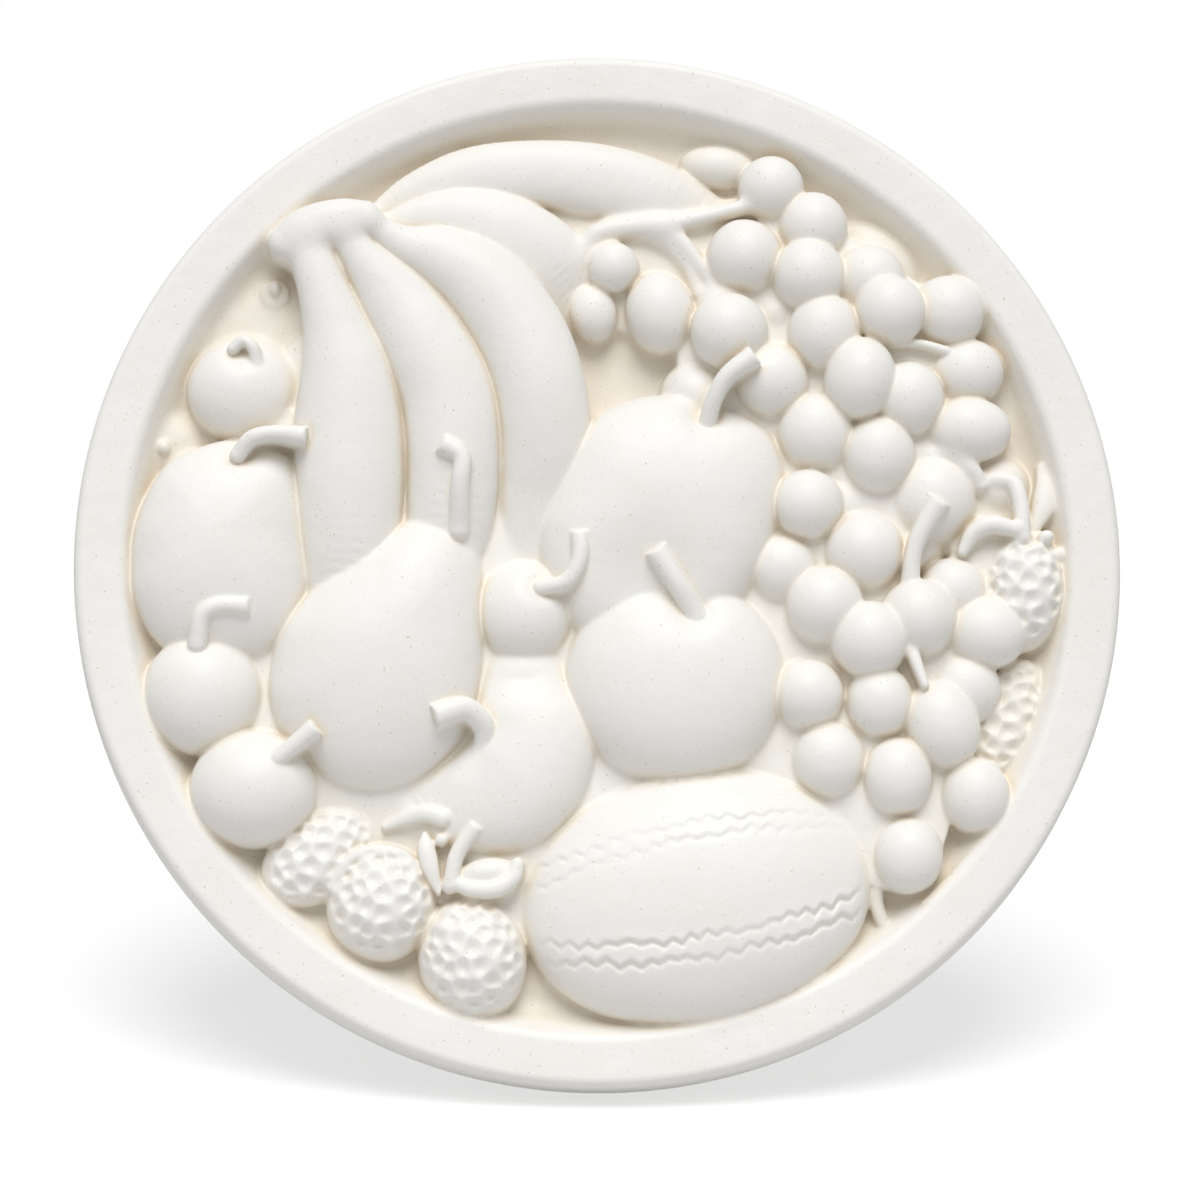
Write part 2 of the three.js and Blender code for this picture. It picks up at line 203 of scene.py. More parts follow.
def mound(across, up, half_width, half_height, lean, top, dome=None, dents=(), fullness=2.0,
          carve=None, blend=FRUIT_BLEND):
    """A fruit with an oval outline."""
    reach = max(half_width, half_height)
    win = Window(across - reach, across + reach, up - reach, up + reach)
    u, w = turned(win, across, up, lean)
    share = np.hypot(u / half_width, w / half_height)
    radius = np.hypot(u, w) / np.maximum(share, 1e-4)
    radius = np.where(share < 1e-3, min(half_width, half_height), radius)
    if dome is None:
        dome = min(half_width, half_height) * 0.97
    carved = None if carve is None else carve(u, w, share)
    high = dented(win, top, dents)
    win.cast(share, radius, high, dome - (top - high), fullness, carved, blend)


def curve_through(rows, steps, closed=False):
    """Smooth values through rows of numbers (Catmull-Rom), steps to each stretch."""
    rows = np.array(rows, dtype=float)
    if closed:
        ring = np.vstack([rows[-1:], rows, rows[:2]])
    else:
        ring = np.vstack([2 * rows[:1] - rows[1:2], rows, 2 * rows[-1:] - rows[-2:-1]])
    made = []
    for a, b, c, d in zip(ring, ring[1:], ring[2:], ring[3:]):
        for t in np.arange(steps) / steps:
            made.append(b + 0.5 * t * (c - a + t * (2 * a - 5 * b + 4 * c - d
                                                    + t * (3 * (b - c) + d - a))))
    if not closed:
        made.append(rows[-1])
    return np.array(made)


def shaped(outline, middle, top, dome, dents=(), fullness=2.0, blend=FRUIT_BLEND):
    """A fruit whose outline is drawn through a few points round its middle."""
    edge = curve_through(outline, 8, closed=True)
    win = Window(edge[:, 0].min(), edge[:, 0].max(), edge[:, 1].min(), edge[:, 1].max())
    angle = np.arctan2(edge[:, 1] - middle[1], edge[:, 0] - middle[0])
    reach = np.hypot(edge[:, 0] - middle[0], edge[:, 1] - middle[1])
    order = np.argsort(angle)
    right, above = win.x - middle[0], win.z - middle[1]
    radius = np.interp(np.arctan2(above, right), angle[order], reach[order], period=2 * math.pi)
    share = np.hypot(right, above) / radius
    high = dented(win, top, dents)
    win.cast(share, radius, high, dome - (top - high), fullness, None, blend)


def sweep(rows, dome_share=0.9, fullness=2.0, blend=FRUIT_BLEND, steps=6, cut=False):
    """A long form with an arched back. Each row is [across, up, half width, top].

    With cut, its last end is broken off steeply instead of being round."""
    line = curve_through(rows, steps)
    wide = line[:, 2].max()
    win = Window(line[:, 0].min() - wide, line[:, 0].max() + wide,
                 line[:, 1].min() - wide, line[:, 1].max() + wide)
    shares, widths, tops = [], [], []
    for a, b in zip(line, line[1:]):
        run = b[:2] - a[:2]
        along = ((win.x - a[0]) * run[0] + (win.z - a[1]) * run[1]) / max(run @ run, 1e-9)
        along = np.clip(along, 0, 1)
        away = np.hypot(win.x - a[0] - along * run[0], win.z - a[1] - along * run[1])
        widths.append(a[2] + along * (b[2] - a[2]))
        tops.append(a[3] + along * (b[3] - a[3]))
        shares.append(away / widths[-1])
    shares = np.array(shares)
    # the nearest stretches count together, so that no seam shows between them
    weight = np.exp((shares.min(axis=0) - shares) / 0.02)
    weight /= weight.sum(axis=0)
    half_width = (weight * np.array(widths)).sum(axis=0)
    top = (weight * np.array(tops)).sum(axis=0)
    share = (weight * shares).sum(axis=0)
    if cut:
        run = (line[-1, :2] - line[-2, :2]) / np.hypot(*(line[-1, :2] - line[-2, :2]))
        beyond = (win.x - line[-1, 0]) * run[0] + (win.z - line[-1, 1]) * run[1]
        aside = np.abs((win.z - line[-1, 1]) * run[0] - (win.x - line[-1, 0]) * run[1])
        near = aside < 1.2 * half_width
        steep = 2.4
        share = np.where(near, np.maximum(share, 1 + steep * beyond / half_width), share)
    win.cast(share, half_width, top, half_width * dome_share, fullness, None, blend)


def stem(rows, blend=0.9, cut=False):
    """A round stem or stalk."""
    sweep(rows, 1.0, 2.0, blend, cut=cut)


# ---- the fruit ----

# rows of [across, up, half width, half height, lean, top]
UPPER_GRAPES = [
    [35.5, 119.5, 11.5, 6.5, 6, 13],
    [50.9, 112, 9.7, 9.7, 0, 21],
    [63, 100.5, 10.3, 10.3, 0, 22],
    [42.8, 91, 11, 11, 0, 24],
    [61.5, 85, 10.8, 10.8, 0, 26],
    [38, 68, 11.4, 11.4, 0, 27],
    [18, 74.5, 10, 12.2, -14, 21],
    [4.4, 87.6, 7.5, 7.5, 0, 20],
    [-1.5, 74.5, 7, 8.5, -10, 17],
    [37, 77, 9.5, 9.5, 0, 17],
    [52.5, 74.5, 5.5, 5.5, 0, 16],
    [79.5, 84.5, 10.5, 10.5, 0, 22],
    [83, 93, 14, 8, 40, 12],
    [85, 74, 10.4, 10.4, 0, 28],
    [102.5, 75, 10.8, 10.8, 0, 23],
    [66, 68, 10.8, 11.4, 0, 26],
    [76, 53.7, 10.4, 12.2, 10, 29],
    [90.5, 48.5, 10.3, 11, 0, 25],
    [108, 57.5, 11, 10, 0, 20],
    [108.3, 39.8, 12.3, 9.7, 0, 22],
    [63.5, 38.5, 11.5, 12, 0, 24],
    [50.5, 54, 11, 11, 0, 24],
    [28.5, 50.5, 10.5, 10.5, 0, 17],
    [81.5, 32, 10.8, 11.5, 0, 25],
    [117.5, 24, 9, 9, 0, 14],
]
LOWER_GRAPES = [
    [60.7, 16.8, 10.3, 10.3, 0, 26],
    [71, 17, 10, 10, 0, 17],
    [77, 3.5, 11.6, 11.6, 0, 25.5],
    [53.5, -1.5, 10.3, 10.3, 0, 22],
    [65.3, -12.7, 11.3, 11.3, 0, 27],
    [78, -23, 11.3, 11.3, 0, 29],
    [92.5, -16, 11.3, 11.3, 0, 26.5],
    [103, -7.5, 10, 10, 0, 20],
    [112.5, -20, 11.7, 10.3, 0, 23],
    [106, -36, 10.8, 10.8, 0, 20],
    [60.5, -38.5, 10.4, 10.4, 0, 25],
    [81, -40.5, 10, 10.5, 0, 25],
    [99, -47, 10.8, 13, -20, 25.5],
    [66.3, -57, 10.8, 11.3, 0, 23.5],
    [86, -62, 10, 11.3, 0, 24.5],
    [108.5, -67, 10, 11, 0, 22],
    [89, -84.5, 10, 11, 0, 23],
]


def bed(outline, middle, top):
    """Plaster that fills the hollows between neighbours up to a height."""
    shaped(outline, middle, top, 3, blend=4.0)


def beds():
    """The plaster between the fruits, which are cast over it."""
    # under the upper bunch of grapes, its vine and the lower bunch
    bed([(50, 108), (62, 102), (75, 97), (88, 88), (102, 77), (107, 58), (106, 42), (90, 34),
         (66, 30), (30, 48), (24, 66), (42, 88)], (68, 65), 15)
    bed([(-7, 94), (0, 101), (20, 105), (46, 109), (50, 84), (34, 62), (14, 68), (-4, 74)],
        (22, 88), 11)
    bed([(58, 18), (78, 6), (92, -12), (104, -6), (112, -20), (106, -36), (104, -60), (98, -84),
         (84, -94), (70, -86), (52, -66), (40, -40), (46, -4)], (76, -34), 15.5)
    bed([(54, 30), (70, 40), (94, 38), (100, 24), (94, 0), (78, -4), (56, 4)], (76, 18), 15.5)
    # in the middle and the lower left of the dish
    bed([(-110, 10), (-74, 40), (-40, 20), (-10, 20), (18, 40), (46, 20), (48, -40), (60, -96),
         (28, -116), (-24, -108), (-44, -100), (-54, -86), (-80, -73), (-96, -62),
         (-114, -38)], (-20, -40), 14.5)
    # under the front bananas and their crown, beside them, and under the bananas behind
    bed([(-88, 91), (-78, 97), (-62, 98), (-61, 91), (-70, 83), (-79, 81)], (-75, 91), 21.5)
    bed([(-102, 38), (-94, 58), (-84, 66), (-72, 34), (-92, 28)], (-86, 46), 13)
    bed([(-86, 92), (-66, 99), (-40, 88), (-24, 70), (-16, 40), (-16, 10), (-72, 0), (-74, 40),
         (-80, 72)], (-48, 45), 12)
    bed([(-60, 102), (-38, 106), (-14, 100), (14, 96), (22, 104), (0, 112), (-30, 114)],
        (-20, 106), 9)
    # low plaster round the fruit on the right
    bed([(104, 8), (120, 8), (126, -12), (119, -26), (106, -16)], (115, -8), 13)
    bed([(92, 30), (104, 36), (122, 30), (124, 12), (116, -8), (104, 4), (88, 8)], (106, 16), 11)


def bananas():
    # the two behind, then the three in front, then the crown that joins their necks
    sweep([[-66, 104.5, 2, 12], [-54, 110.2, 6, 14], [-38, 115, 9, 15.5], [-20, 116.5, 10, 16],
           [0, 114.5, 11.3, 16], [18, 109.5, 11, 14.5], [35, 102, 8, 10]], 0.62, 2.2)
    sweep([[-64, 99.5, 2.5, 16], [-52, 102, 5.4, 18], [-39, 101, 9.5, 19.5],
           [-26, 95.5, 13.4, 19.5], [-14, 87, 14, 17], [-5, 77, 10, 10]], 0.62, 2.2)
    sweep([[-65.8, 97.5, 3.2, 24.5], [-57, 92.3, 5.6, 24.5], [-45.5, 88.5, 9.4, 25.5],
           [-33.5, 80.5, 12.6, 26.5], [-23.5, 67, 13.9, 27], [-17.5, 51, 13.8, 27],
           [-16, 34, 13.8, 24], [-18, 16, 12.5, 18], [-20, -2, 11, 13]], 0.8, 2.05, 0.9, 16)
    sweep([[-73.6, 94.5, 4.8, 25], [-69, 88, 6.0, 25.5], [-59.5, 76, 10.9, 26], [-51, 63, 13, 27],
           [-44, 48, 14, 27], [-42.3, 30, 13.6, 26], [-43.5, 10, 12.5, 22], [-47, -10, 8, 15]],
          0.8, 2.05, 0.9)
    sweep([[-85.6, 93, 6.8, 25], [-81.9, 83, 6.8, 25.5], [-76.5, 67.5, 9.8, 26],
           [-73.3, 54, 13.6, 27], [-72.5, 38, 16.2, 27], [-72.3, 20, 16, 26], [-73, 0, 13.5, 22],
           [-76, -16, 8, 15]], 0.8, 2.05, 0.9)
    sweep([[-91.8, 92.5, 4.8, 24], [-84.5, 96.8, 6.4, 26], [-75.5, 98.8, 6.6, 26.8],
           [-68.5, 99.9, 4.8, 26.2]], 0.9, 2.3, 3.5)


def big_fruit():
    # apples: the upper, the lower, the left and the small one beside the bananas
    shaped([(-18, 8), (-14.5, 20), (-8.5, 34), (-2, 42.5), (8, 48), (18, 50), (29, 49.5), (40, 45),
            (49, 39.5), (54, 30), (54, 17), (48, -2), (32, -20), (8, -26), (-8, -20), (-16, -6)],
           (18, 12), 29, 20, dents=[[30.5, 43, 5, 6], [33, 50, 9, 5], [14, -8, 16, 4.5]],
           fullness=2.4)
    mound(22, -34.5, 32.5, 30.5, 0, 30, 20, dents=[[27.5, -15.5, 4.5, 5], [25, -12, 9, 2.5]],
          fullness=2.25)
    shaped([(-135.5, 0), (-135, 8), (-133, 15), (-130, 22), (-126, 28), (-119, 32.5), (-108, 36),
            (-97, 35.5), (-88, 30), (-85, 20), (-84, 5), (-84, -9), (-90, -24), (-104, -30),
            (-118, -29), (-128, -23), (-134.5, -12)],
           (-110, 4), 27, 17, dents=[[-104, 31, 5, 4], [-103, 37, 7, 4]])
    mound(-103.5, 51, 16.8, 15.5, 0, 19.5, 12, dents=[[-104.5, 61.5, 4.5, 3]])
    # pear
    shaped([(-95, -36), (-92, -20), (-81.5, -7), (-73, 0), (-66, 5), (-58, 10.5), (-52, 13.5),
            (-45, 14), (-39, 11), (-35.5, 6), (-34, 0), (-33, -12), (-33.3, -30), (-37, -48),
            (-47, -60.5), (-61, -66.3), (-75, -64.5), (-86, -56), (-93, -47)],
           (-61, -26), 30, 18)
    # three cherries
    mound(-114, -38.5, 17.3, 17.8, 0, 25, 15, dents=[[-115, -24, 3.5, 2]])
    mound(-99, -66, 18.5, 17, 0, 27, 16)
    mound(-21.5, -15, 14.2, 15.2, 0, 25, 13.5, dents=[[-16, -8, 4, 3]])
    # plum and the low fruit beside it
    mound(97.3, 19.5, 13.2, 13.4, 0, 21.5, 12.5)
    mound(92, 6, 9, 9, 0, 15)
    # low fruit behind the small apple, each with a stalk end
    mound(-97, 66, 17, 22, -30, 9.5, 4, blend=3.0)
    mound(-124, 36, 8, 8, 0, 9.5, 4, blend=3.0)
    mound(-94.8, 80, 4.2, 4.2, 0, 10, 1.2, dents=[[-94.8, 80, 2.2, 1.6]])
    mound(-94.8, 81.2, 1.6, 2.2, 0, 12.2, 2.2)
    mound(-126.5, 34, 1.9, 2.1, 0, 11.5, 2)


MELON_HALF_LENGTH = 51
MELON_HALF_HEIGHT = 37
# rows of [height at the left end, in the middle and at the right end, depth, shift of its zigzag]
MELON_SEAMS = [
    [14.5, 19, 15.5, 0.55, 0.0],
    [9.5, 14.5, 11.5, 0.5, 1.4],
    [-7.5, -13.5, -8.5, 1.0, 0.7],
    [-12.5, -19, -13.5, 1.0, 2.1],
    [29.5, 33, 30, 0.35, 0.3],
    [-29, -34, -29.5, 0.35, 1.1],
]


def melon_seams(u, w, share):
    """Zigzag seams along the melon, each bent with its bulge and uneven as if cut by hand."""
    depth = np.zeros_like(u)
    for left, middle, right, deep, shift in MELON_SEAMS:
        t = u / 43  # from -1 to 1 between the seams' ends
        bend = middle + (right - left) / 2 * t + ((left + right) / 2 - middle) * t * t
        swing = 0.9 * np.sin(u / 5.3 + shift)
        zigzag = 0.5 * np.arcsin(np.sin(u / 0.9 + shift + swing))
        wiggle = zigzag * (1 + 0.4 * np.sin(u / 6.1 + 3 * shift))
        off = w - bend - wiggle - 0.5 * np.sin(u / 3.7 + 2 * shift)
        ends = np.clip((MELON_HALF_LENGTH - 3 - np.abs(u)) / 6, 0, 1)
        fainter = 0.75 + 0.25 * np.sin(u / 9.0 + 5 * shift)
        groove = np.exp(-(off / 0.75) ** 2) - 0.3 * np.exp(-((off - 1.5) / 0.9) ** 2)
        depth += 0.85 * deep * ends * fainter * groove
    return depth


def melon():
    mound(28, -96.3, MELON_HALF_LENGTH, MELON_HALF_HEIGHT, -10, 30, 21.5, fullness=2.05,
          carve=melon_seams)


def peach():
    sweep([[-21.5, -35, 12.3, 19.5], [-20.5, -44, 15, 22.8], [-18.5, -54.5, 18.3, 24.3],
           [-25, -65.5, 18.5, 24], [-38, -70.5, 14, 20.5], [-52, -73, 7, 15]], 0.72, 2.2)


BERRY_SPACING = 5.1


def berry_pits(u, w, share):
    """A net of soft ridges round uneven pits, spaced over the round of a berry."""
    stretch = np.arcsin(np.minimum(share, 1)) / np.maximum(share, 1e-3)
    across, up = u * stretch * 0.88, w * stretch * 0.88
    row_gap = BERRY_SPACING * math.sin(math.radians(60))
    row = np.round(up / row_gap)
    nearest = np.full_like(u, 99.0)
    second = np.full_like(u, 99.0)
    for down in (-1, 0, 1):
        near_row = row + down
        shift = np.where(near_row % 2 == 0, 0, BERRY_SPACING / 2)
        column = np.round((across - shift) / BERRY_SPACING)
        for side in (-1, 0, 1):
            near_column = column + side
            jitter = np.sin(near_row * 12.9 + near_column * 78.2) * 43.7
            x = shift + near_column * BERRY_SPACING + 1.3 * np.sin(jitter)
            z = near_row * row_gap + 1.2 * np.cos(1.7 * jitter)
            away = np.hypot(across - x, up - z)
            second = np.minimum(second, np.maximum(nearest, away))
            nearest = np.minimum(nearest, away)
    pit = np.exp(-(nearest / 1.9) ** 2)
    ridge = np.exp(-((second - nearest) / 1.3) ** 2)
    fade = np.clip((0.95 - share) / 0.18, 0, 1)
    return (1.35 * pit - 0.25 * ridge) * fade


def strawberries():
    # rows of [across, up, half width, half height, lean, top, dome]
    for row in ([-80, -85, 12.5, 18.5, 56, 18, 9], [118.5, -44, 9, 18.5, 22, 12.5, 5],
                [-62, -98.5, 15.8, 17, 20, 24, 15], [-36, -114, 15.6, 18, -8, 25, 16],
                [123.8, -7, 12.2, 18, 5, 20.8, 12]):
        mound(*row, carve=berry_pits)
    # beside the melon: a rolled leaf over the nearest strawberry
    mound(-31.5, -90.5, 8.8, 4.6, -6, 20.5, 5)
    sweep([[-41, -93.5, 1.8, 19.5], [-36, -95.3, 2.3, 21], [-29.5, -95.2, 2.4, 21.5],
           [-24.8, -92, 2.4, 21], [-23.3, -88, 2.0, 20.5]], blend=1.6)
    # the middle one's collar and its pointed leaf
    sweep([[-76.3, -94.5, 1.0, 16.5], [-73.8, -89.5, 1.3, 17.6], [-69.5, -85.6, 1.5, 18.4],
           [-63.3, -83.9, 1.6, 18.6], [-57, -85, 1.5, 18.2], [-52.3, -88.5, 1.2, 17.4]], blend=2.2)
    sweep([[-49.8, -79.5, 1.0, 17.5], [-49.3, -84, 2.6, 19], [-47.8, -90, 2.4, 19],
           [-45.8, -96, 0.8, 17.5]], 0.7, blend=0.8)
    # the furthest one's long leaf, and the bud under its end
    sweep([[-61, -77, 1.2, 15], [-55.5, -74.8, 2.2, 17], [-49.5, -73.5, 2.6, 19],
           [-44.8, -74.8, 2.7, 20]], 0.8, blend=0.8)
    mound(-45, -81, 2, 2, 0, 19)
    # beside the grapes: leaves of the upper strawberry
    sweep([[127.5, 12, 1.8, 13.5], [129.8, 18, 3.4, 13.5], [130.3, 24, 2.5, 12.5],
           [129.5, 29, 1.2, 11]], 0.6, blend=2.0)
    mound(130, 8, 2.4, 2, -20, 17)
    mound(134, 3.5, 1.8, 2, 0, 14)


def stems():
    # apples
    stem([[31, 38, 2.6, 22], [33, 46, 2.5, 26], [37, 53, 2.6, 28.5], [45, 58.8, 3.2, 29]], cut=True)
    stem([[27.5, -17, 3.6, 25], [22.5, -8.5, 3.0, 28.5], [15.8, 1.8, 3.3, 29.5]], cut=True)
    stem([[-104.5, 29.5, 2.4, 23], [-100.5, 34, 2.3, 25.5], [-94, 35.3, 2.3, 26.5],
          [-84.5, 34.3, 2.9, 28]], cut=True)
    stem([[-99.5, 57.8, 2, 18.5], [-100.7, 62, 1.8, 19.5], [-103.6, 64, 1.7, 19],
          [-106.5, 61.8, 1.7, 18]])
    # pear
    stem([[-40.5, 8, 3, 24], [-40.3, 20, 2.7, 29], [-40, 28.5, 2.6, 29.5], [-46, 32.3, 2.9, 29]],
         cut=True)
    # cherries
    stem([[-115.3, -25.5, 2.8, 23.5], [-113.8, -17.5, 2.5, 25.5], [-108.5, -14.7, 2.6, 26],
          [-100.3, -15, 2.8, 25.5]], cut=True)
    stem([[-91.5, -58.5, 2.3, 26], [-81, -50, 2.8, 29]], cut=True)
    stem([[-17, -9, 2.3, 24.5], [-9.5, -7.3, 2.4, 26.5], [-5.8, -1, 2.4, 27.5],
          [-5.8, 7.2, 2.7, 27.5]], cut=True)
    # peach
    stem([[-34, -57, 2.6, 19.5], [-33, -49.5, 3.1, 24], [-38.5, -44.3, 3.4, 27.5],
          [-47.5, -47, 3.7, 29]], cut=True)
    # vine of the upper bunch, with its branches
    stem([[-5, 91, 2.6, 13.5], [-1, 97.5, 3.1, 14.8], [8, 99.8, 3.2, 15.5], [19, 100.2, 3.3, 16]], 3.0)
    stem([[16, 100.3, 2.9, 15.5], [23, 96.5, 2.6, 15.5], [28, 91, 2.2, 15], [33, 84, 1.8, 14.5]], 2.5)
    stem([[14, 100, 2.4, 14.5], [21, 94.5, 2.2, 14], [26, 88.5, 1.9, 13.5], [29, 81, 1.5, 13]], 2.5)
    stem([[19, 100.2, 2.5, 15.8], [32, 103.2, 2.2, 15.8], [46, 106.8, 2.0, 16]], 2.5)
    stem([[82, 64, 1.2, 18], [93, 64.6, 1.3, 18.5], [101.5, 62.5, 1.5, 18.5]])
    # stalk of the lower bunch and of its last grapes
    stem([[90, -7, 2.9, 20.5], [90.7, 1.5, 2.5, 22], [93.2, 8.5, 2.7, 23.5], [98.5, 17.5, 3.5, 25]],
         cut=True)
    stem([[89.5, -25, 2.2, 22], [93.5, -36.5, 1.2, 23.5]])
    # tendril beside the melon
    stem([[73, -79, 2, 13], [79.5, -85, 2.2, 14], [80, -98, 2.1, 11.5], [84, -107, 2.4, 10]])
    # strawberry stalks
    stem([[-42.5, -94, 2.4, 19.5], [-40.5, -85, 2.3, 20.5], [-35, -77, 2.3, 21.5]], cut=True)
    stem([[123, 8, 2.4, 18], [122.8, 17, 2.3, 17.5], [120.8, 24, 2.4, 16.5],
          [115.5, 25.6, 2.4, 15]], 1.6)
    stem([[121, 10, 2.2, 19], [114, 11.3, 2.7, 19.5], [108.8, 8.8, 2.5, 18.5],
          [105.6, 3.6, 1.6, 17]], 1.3)
    # stalk end of the plum
    stem([[94, 32.5, 2.0, 15], [103, 32, 2.4, 17], [108.5, 28, 2.5, 17.2],
          [111.5, 23.5, 1.8, 15.5]], 2.5)


# ---- from the field to one mesh ----

MOST_TRIANGLES = 190000


def sampled(points):
    """The field's value at points in mm (across, up, height), by linear interpolation."""
    start = np.array([across_axis[0], across_axis[0], height_axis[0]])
    place = (points - start) / VOXEL
    low = np.clip(np.floor(place).astype(int), 0, np.array(field.shape) - 2)
    part = place - low
    total = np.zeros(len(points))
    for corner in range(8):
        step = np.array([corner & 1, corner >> 1 & 1, corner >> 2 & 1])
        share = np.prod(np.where(step, part, 1 - part), axis=1)
        index = low + step
        total += share * field[index[:, 0], index[:, 1], index[:, 2]]
    return total


def slope_at(points):
    """Unit vectors along which the field rises fastest: the surface's normals."""
    parts = []
    for axis in range(3):
        step = np.zeros(3)
        step[axis] = VOXEL
        parts.append(sampled(points + step) - sampled(points - step))
    slope = np.stack(parts, axis=1)
    return slope / np.maximum(np.linalg.norm(slope, axis=1, keepdims=True), 1e-9)


def to_scene(values):
    """(across, up, height) as Blender's x, y and z."""
    return np.stack([values[:, 0], -values[:, 2], values[:, 1]], axis=1)


def to_relief(values):
    """Blender's x, y and z as (across, up, height)."""
    return np.stack([values[:, 0], values[:, 2], -values[:, 1]], axis=1)


def set_places(mesh, points):
    """Puts the mesh's vertices at these points in mm."""
    mesh.vertices.foreach_set("co", (to_scene(points) * MM).astype(np.float32).ravel())


def meshed():
    """The surface of the casting, where the field is zero."""
    grid = openvdb.FloatGrid(background=3.0)
    grid.copyFromArray(np.ascontiguousarray(np.clip(field, -3, 3)))
    points, triangles, quads = grid.convertToPolygons(0.0, 0.0)
    points = points * VOXEL + np.array([across_axis[0], across_axis[0], height_axis[0]])
    mesh = bpy.data.meshes.new("plaque_cast")
    corner_count = 3 * len(triangles) + 4 * len(quads)
    mesh.vertices.add(len(points))
    set_places(mesh, points)
    mesh.loops.add(corner_count)
    mesh.loops.foreach_set("vertex_index", np.concatenate([triangles.ravel(), quads.ravel()]))
    sizes = np.concatenate([np.full(len(triangles), 3), np.full(len(quads), 4)])
    mesh.polygons.add(len(sizes))
    mesh.polygons.foreach_set("loop_start", np.concatenate([[0], np.cumsum(sizes)[:-1]]))
    mesh.update(calc_edges=True)
    mesh.validate()
    return mesh


def thinned(mesh):
    """An object with the mesh at fewer triangles."""
    piece = bpy.data.objects.new("plaque_cast", mesh)
    bpy.context.scene.collection.objects.link(piece)
    triangles = sum(len(p.vertices) - 2 for p in mesh.polygons)
    thin = piece.modifiers.new("thin", "DECIMATE")
    thin.ratio = min(1.0, MOST_TRIANGLES / triangles)
    thin.use_collapse_triangulate = True
    ready = piece.evaluated_get(bpy.context.evaluated_depsgraph_get())
    fine = bpy.data.meshes.new_from_object(ready)
    piece.modifiers.clear()
    piece.data = fine
    return piece


def settled(mesh):
    """Puts the vertices back on the exact surface, and gives their places and normals."""
    places = np.empty(len(mesh.vertices) * 3, dtype=np.float32)
    mesh.vertices.foreach_get("co", places)
    points = to_relief(places.reshape(-1, 3) / MM)
    for _ in range(2):
        points = points - slope_at(points) * np.clip(sampled(points), -0.3, 0.3)[:, None]
    points[:, 2] = np.clip(points[:, 2], 0, HIGHEST)
    set_places(mesh, points)
    mesh.polygons.foreach_set("use_smooth", np.ones(len(mesh.polygons), dtype=bool))
    normals = slope_at(points)
    mesh.normals_split_custom_set_from_vertices(to_scene(normals).tolist())
    return points, normals


def mark_painted_shade(mesh, points, normals):
    """Keeps how closed in each place is, 1 deep in a crevice and 0 in the open: the mask for the
    painted shade in the plaster's colour.
    """
    painted_shade_mask = np.zeros(len(points))
    # how much the open air round each place is blocked, as for shade that would fall there
    for reach, share in ((1.2, 0.3), (2.5, 0.35), (5.0, 0.35)):
        free = sampled(points + normals * reach) / reach
        painted_shade_mask += share * np.clip(1 - free, 0, 1)
    # the floor and the foot of the inner wall count as a shallow crevice, so they get painted shade
    # too
    deep = np.clip((RIM_HEIGHT - points[:, 2]) / 8, 0, 1) * (points[:, 2] > ROOT_HEIGHT)
    inside = np.hypot(points[:, 0], points[:, 1]) < RIM_INNER_RADIUS + 1
    painted_shade_mask = np.maximum(painted_shade_mask, 0.25 * painted_shade_mask + 0.62 * deep * inside)
    layer = mesh.attributes.new("painted_shade_mask", "FLOAT", "POINT")
    layer.data.foreach_set("value", painted_shade_mask.astype(np.float32))
    mesh.update()


# ---- materials ----

